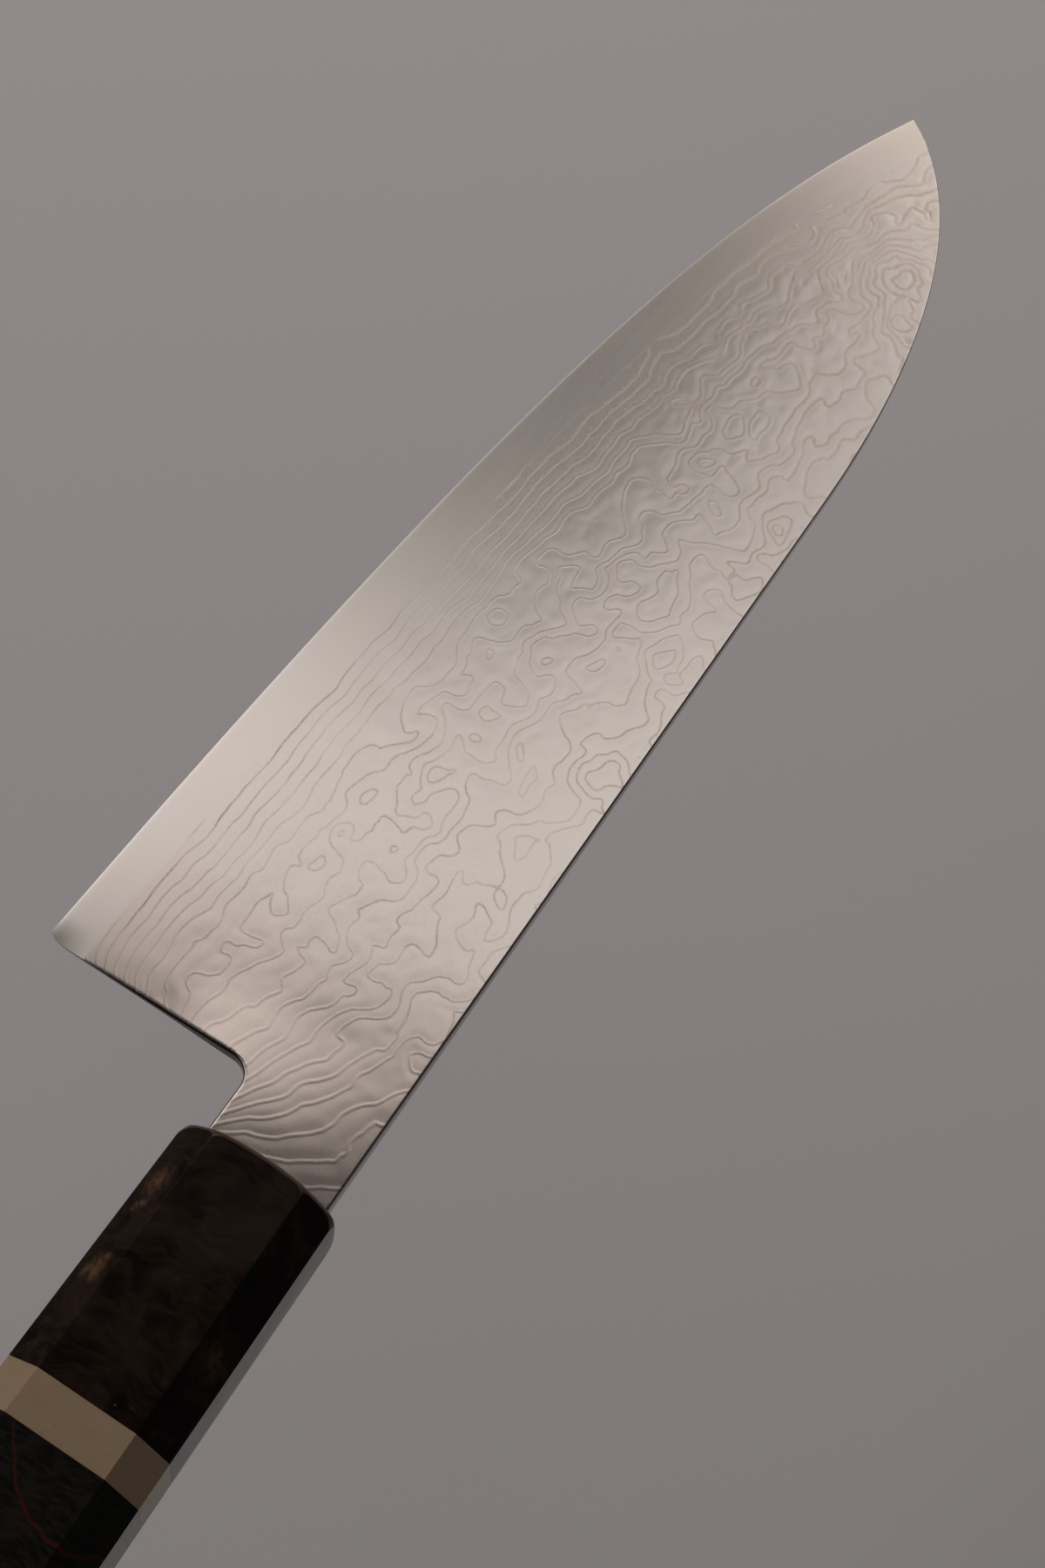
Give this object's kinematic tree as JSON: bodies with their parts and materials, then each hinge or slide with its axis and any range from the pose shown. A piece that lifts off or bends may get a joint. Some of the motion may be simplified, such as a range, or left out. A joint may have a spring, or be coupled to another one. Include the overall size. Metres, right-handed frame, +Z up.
{
  "type": "santoku knife",
  "caption": "Kitchen knife for slicing and chopping: layered-steel santoku blade with a bare core edge, hidden tang and an octagonal wooden handle with a pale spacer.",
  "frame": {"origin": "middle of the underside of the bounding box, with the knife lying on its right side", "axes": "+X along the blade to the tip, +Y from the spine to the cutting edge, +Z up, out of the blade's left face"},
  "size_m": [0.3238, 0.0518, 0.0206],
  "materials": {
    "core_steel": "satin polished hard steel",
    "cladding_steel": "etched layered steel, satin",
    "burl_wood": "polished dark brown burl",
    "spacer_resin": "polished cream",
    "dark_wood": "polished near-black wood with red veins",
    "dowel_wood": "plain turned hardwood",
    "bedding_resin": "set epoxy"
  },
  "bodies": {
    "root": {"core_steel": "core_steel", "cladding_left": "cladding_steel", "cladding_right": "cladding_steel", "front_block": "burl_wood", "spacer_ring": "spacer_resin", "rear_block": "dark_wood", "tang_dowel": "dowel_wood", "tang_bedding": "bedding_resin"}
  },
  "joints": []
}
